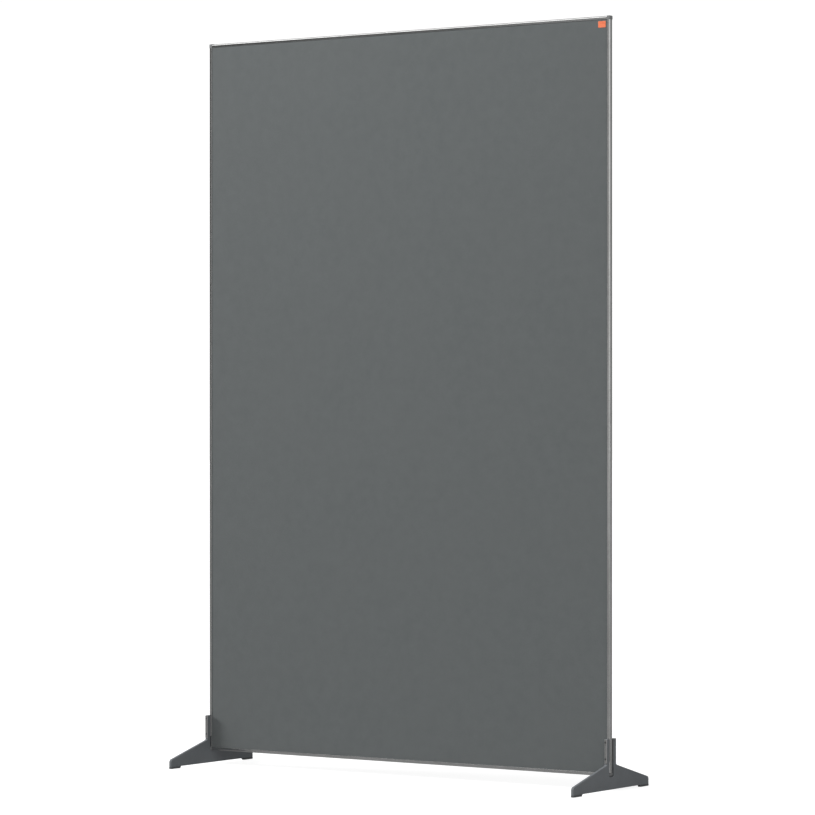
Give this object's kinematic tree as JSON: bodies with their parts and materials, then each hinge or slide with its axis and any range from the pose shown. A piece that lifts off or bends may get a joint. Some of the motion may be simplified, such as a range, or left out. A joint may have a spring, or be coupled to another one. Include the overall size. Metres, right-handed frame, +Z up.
{
  "type": "partition wall",
  "caption": "Free-standing felt-faced screen panel in a slim aluminium frame with dark corner caps, held upright by thin slotted plate feet that clamp its lower corners.",
  "frame": {"origin": "on the floor, under the middle of the panel", "axes": "+X along the panel's width to the viewer's right, -Y out of the front felt, +Z up"},
  "size_m": [1.2026, 0.338, 1.837],
  "materials": {
    "frame_aluminium": "satin anodised",
    "cap_plastic": "moulded matte",
    "key_steel": "zinc plated",
    "screw_steel": "zinc plated",
    "core_board": "raw",
    "grey_felt": "needled felt",
    "label_plastic": "gloss",
    "foot_paint": "fine-texture powder coat",
    "glide_rubber": "matte",
    "zinc_steel": "zinc plated",
    "jaw_rubber": "matte"
  },
  "bodies": {
    "root": {"top_rail": "frame_aluminium", "bottom_rail": "frame_aluminium", "left_stile": "frame_aluminium", "right_stile": "frame_aluminium", "upper_left_corner_cap": "cap_plastic", "upper_right_corner_cap": "cap_plastic", "lower_left_corner_cap": "cap_plastic", "lower_right_corner_cap": "cap_plastic", "upper_left_corner_key": "key_steel", "upper_right_corner_key": "key_steel", "lower_left_corner_key": "key_steel", "lower_right_corner_key": "key_steel", "key_screws": "screw_steel", "core_board": "core_board", "front_felt": "grey_felt", "back_felt": "grey_felt", "blank_label": "label_plastic"},
    "left_foot": {"left_foot_plate": "foot_paint", "left_front_glide": "glide_rubber", "left_rear_glide": "glide_rubber", "left_clamp_bar": "zinc_steel", "left_jaw_pad": "jaw_rubber"},
    "left_pressure_strip": {"left_pressure_strip": "zinc_steel"},
    "left_upper_clamp_screw": {"left_upper_clamp_screw": "screw_steel"},
    "left_lower_clamp_screw": {"left_lower_clamp_screw": "screw_steel"},
    "right_foot": {"right_foot_plate": "foot_paint", "right_front_glide": "glide_rubber", "right_rear_glide": "glide_rubber", "right_clamp_bar": "zinc_steel", "right_jaw_pad": "jaw_rubber"},
    "right_pressure_strip": {"right_pressure_strip": "zinc_steel"},
    "right_upper_clamp_screw": {"right_upper_clamp_screw": "screw_steel"},
    "right_lower_clamp_screw": {"right_lower_clamp_screw": "screw_steel"}
  },
  "joints": [
    {"name": "left_foot_slide", "type": "slide", "parent": "root", "child": "left_foot", "axis": [-1, 0, 0], "range_m": [0, 0.025]},
    {"name": "left_strip_slide", "type": "slide", "parent": "left_foot", "child": "left_pressure_strip", "axis": [0, -1, 0], "range_m": [0, 0.0006]},
    {"name": "left_upper_screw_turn", "type": "hinge", "parent": "left_pressure_strip", "child": "left_upper_clamp_screw", "pos_m": [-0.5975, -0.0222, 0.117], "axis": [0, -1, 0], "range_deg": [0, 271]},
    {"name": "left_lower_screw_turn", "type": "hinge", "parent": "left_pressure_strip", "child": "left_lower_clamp_screw", "pos_m": [-0.5975, -0.0222, 0.078], "axis": [0, -1, 0], "range_deg": [0, 271]},
    {"name": "right_foot_slide", "type": "slide", "parent": "root", "child": "right_foot", "axis": [1, 0, 0], "range_m": [0, 0.025]},
    {"name": "right_strip_slide", "type": "slide", "parent": "right_foot", "child": "right_pressure_strip", "axis": [0, -1, 0], "range_m": [0, 0.0006]},
    {"name": "right_upper_screw_turn", "type": "hinge", "parent": "right_pressure_strip", "child": "right_upper_clamp_screw", "pos_m": [0.5975, -0.0222, 0.117], "axis": [0, -1, 0], "range_deg": [0, 271]},
    {"name": "right_lower_screw_turn", "type": "hinge", "parent": "right_pressure_strip", "child": "right_lower_clamp_screw", "pos_m": [0.5975, -0.0222, 0.078], "axis": [0, -1, 0], "range_deg": [0, 271]}
  ],
  "couplings": [
    {"joint": "left_upper_screw_turn", "follows": "left_strip_slide", "rad_per_m": 7854},
    {"joint": "left_lower_screw_turn", "follows": "left_strip_slide", "rad_per_m": 7854},
    {"joint": "right_upper_screw_turn", "follows": "right_strip_slide", "rad_per_m": 7854},
    {"joint": "right_lower_screw_turn", "follows": "right_strip_slide", "rad_per_m": 7854}
  ]
}
